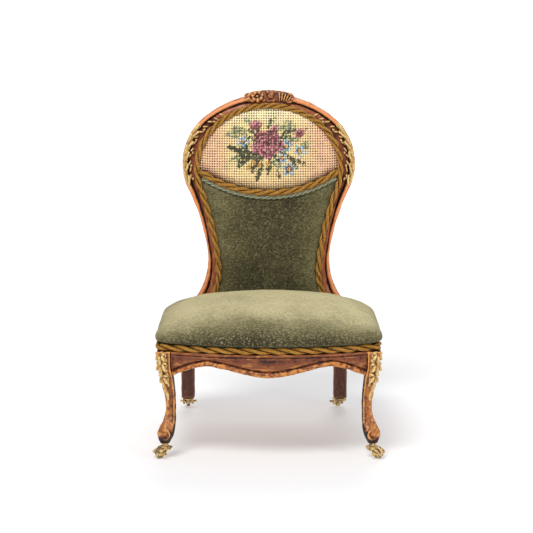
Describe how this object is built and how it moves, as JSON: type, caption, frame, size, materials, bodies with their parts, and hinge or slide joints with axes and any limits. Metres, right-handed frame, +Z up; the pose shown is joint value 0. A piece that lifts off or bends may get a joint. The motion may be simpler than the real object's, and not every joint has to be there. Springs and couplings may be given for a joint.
{
  "type": "miniature upholstered chair",
  "caption": "Dolls house balloon-back parlour chair with a velvet seat, a needlepoint back medallion, carved cabriole front legs and swivelling brass casters.",
  "frame": {"origin": "on the floor, under the middle of the chair's bounding box", "axes": "+Z up, the front of the chair faces -Y, +X to the right as seen from the front"},
  "size_m": [0.0514, 0.0616, 0.0749],
  "materials": {
    "stained_wood": "reddish-brown stain, rubbed lighter on edges, dark in the grooves",
    "dark_wood": "dark stain",
    "gilded_carving": "carved and rubbed with pale gold over dark stain",
    "board": "plain thin board",
    "velvet": "olive green velvet with a soft nap",
    "backing_cloth": "plain olive cloth",
    "needlepoint": "cream and peach canvas stitched with a spray of flowers",
    "gold_rope": "twisted old gold thread",
    "green_cord": "thin twisted pale green thread",
    "brass": "aged cast brass"
  },
  "bodies": {
    "chair": {"seat_front_rail": "stained_wood", "seat_back_rail": "stained_wood", "seat_board": "board", "seat_cushion": "velvet", "seat_rope": "gold_rope", "crest_rail": "stained_wood", "back_lower_rail": "stained_wood", "crest_carving": "stained_wood", "frame_rope": "gold_rope", "seat_side_rail_left": "stained_wood", "front_leg_left": "stained_wood", "knee_carving_left": "gilded_carving", "rear_leg_left": "dark_wood", "stile_left": "stained_wood", "shoulder_carving_left": "gilded_carving", "seat_side_rail_right": "stained_wood", "front_leg_right": "stained_wood", "knee_carving_right": "gilded_carving", "rear_leg_right": "dark_wood", "stile_right": "stained_wood", "shoulder_carving_right": "gilded_carving", "back_board": "board", "back_pad": "velvet", "medallion_pad": "needlepoint", "medallion_rope": "gold_rope", "medallion_green_cord": "green_cord", "rear_cover": "backing_cloth", "caster_stem_front_left": "brass", "caster_stem_front_right": "brass", "caster_stem_rear_left": "brass", "caster_stem_rear_right": "brass"},
    "fork_front_left": {"caster_yoke_front_left": "brass", "axle_pin_front_left": "brass"},
    "roller_front_left": {"wheel_front_left": "brass"},
    "fork_front_right": {"caster_yoke_front_right": "brass", "axle_pin_front_right": "brass"},
    "roller_front_right": {"wheel_front_right": "brass"},
    "fork_rear_left": {"caster_yoke_rear_left": "brass", "axle_pin_rear_left": "brass"},
    "roller_rear_left": {"wheel_rear_left": "brass"},
    "fork_rear_right": {"caster_yoke_rear_right": "brass", "axle_pin_rear_right": "brass"},
    "roller_rear_right": {"wheel_rear_right": "brass"}
  },
  "joints": [
    {"name": "swivel_front_left", "type": "hinge", "parent": "chair", "child": "fork_front_left", "pos_m": [-0.0228, -0.02789, 0.00235], "axis": [0, 0, 1], "continuous": true},
    {"name": "roll_front_left", "type": "hinge", "parent": "fork_front_left", "child": "roller_front_left", "pos_m": [-0.02397, -0.02939, 0.0013], "axis": [0.788, -0.6157, 0], "continuous": true},
    {"name": "swivel_front_right", "type": "hinge", "parent": "chair", "child": "fork_front_right", "pos_m": [0.0228, -0.02789, 0.00235], "axis": [0, 0, 1], "continuous": true},
    {"name": "roll_front_right", "type": "hinge", "parent": "fork_front_right", "child": "roller_front_right", "pos_m": [0.02405, -0.02932, 0.0013], "axis": [0.7547, 0.6561, 0], "continuous": true},
    {"name": "swivel_rear_left", "type": "hinge", "parent": "chair", "child": "fork_rear_left", "pos_m": [-0.0191, 0.01791, 0.00235], "axis": [0, 0, 1], "continuous": true},
    {"name": "roll_rear_left", "type": "hinge", "parent": "fork_rear_left", "child": "roller_rear_left", "pos_m": [-0.0191, 0.01981, 0.0013], "axis": [-1, 0, 0], "continuous": true},
    {"name": "swivel_rear_right", "type": "hinge", "parent": "chair", "child": "fork_rear_right", "pos_m": [0.0169, 0.01791, 0.00235], "axis": [0, 0, 1], "continuous": true},
    {"name": "roll_rear_right", "type": "hinge", "parent": "fork_rear_right", "child": "roller_rear_right", "pos_m": [0.01641, 0.01975, 0.0013], "axis": [-0.9659, -0.2588, 0], "continuous": true}
  ]
}
